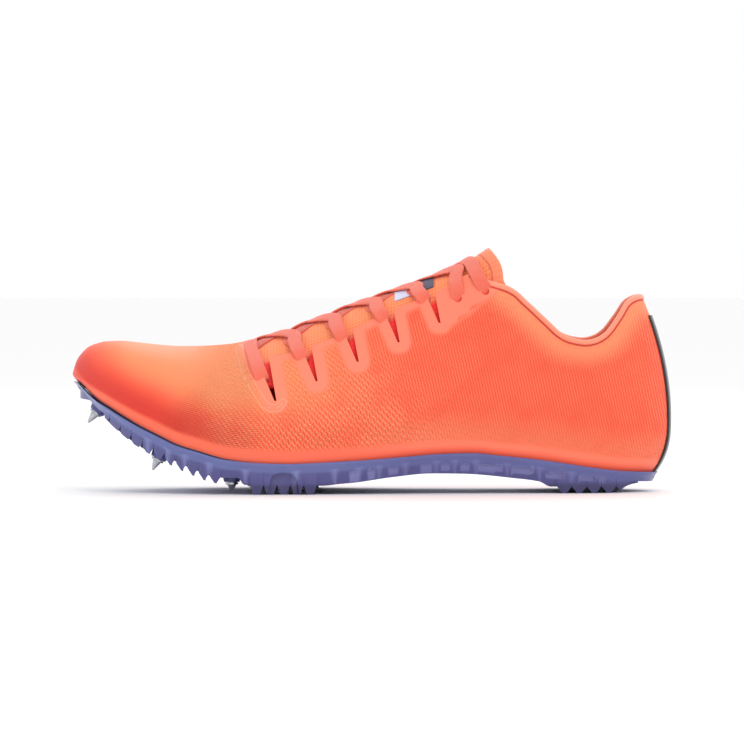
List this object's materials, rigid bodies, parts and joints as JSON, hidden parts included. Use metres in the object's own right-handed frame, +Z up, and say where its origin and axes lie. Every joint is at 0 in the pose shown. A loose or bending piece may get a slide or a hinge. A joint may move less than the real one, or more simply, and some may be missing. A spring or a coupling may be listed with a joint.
{
  "type": "track spike shoe",
  "caption": "Left track spike shoe: lasted mesh upper, crossed flat lace, toothed nylon spike plate with steel pins.",
  "frame": {"origin": "on the floor under the middle of the shoe's box", "axes": "+X from the toe to the heel, +Y to the medial (inner) side of the foot, +Z up"},
  "size_m": [0.285, 0.0917, 0.1165],
  "materials": {
    "upper_mesh": "thin coated mesh, satin",
    "film": "smooth satin film",
    "binding": "rolled knit rim",
    "plate": "moulded nylon, satin gloss",
    "pins": "turned steel",
    "tongue": "thin padded textile",
    "label": "plain woven label",
    "lace": "flat woven lace",
    "insole": "brushed textile",
    "strip": "matte film"
  },
  "bodies": {
    "root": {"upper": "upper_mesh", "spike_plate": "plate", "insole": "insole", "tongue": "tongue", "tongue_label": "label", "eyestay_band_lateral": "film", "eyestay_band_medial": "film", "collar_binding": "binding", "heel_strip": "strip", "lace": "lace", "spike_pin_1": "pins", "spike_pin_2": "pins", "spike_pin_3": "pins", "spike_pin_4": "pins", "spike_pin_5": "pins", "spike_pin_6": "pins", "spike_pin_7": "pins", "spike_pin_8": "pins"}
  },
  "joints": []
}
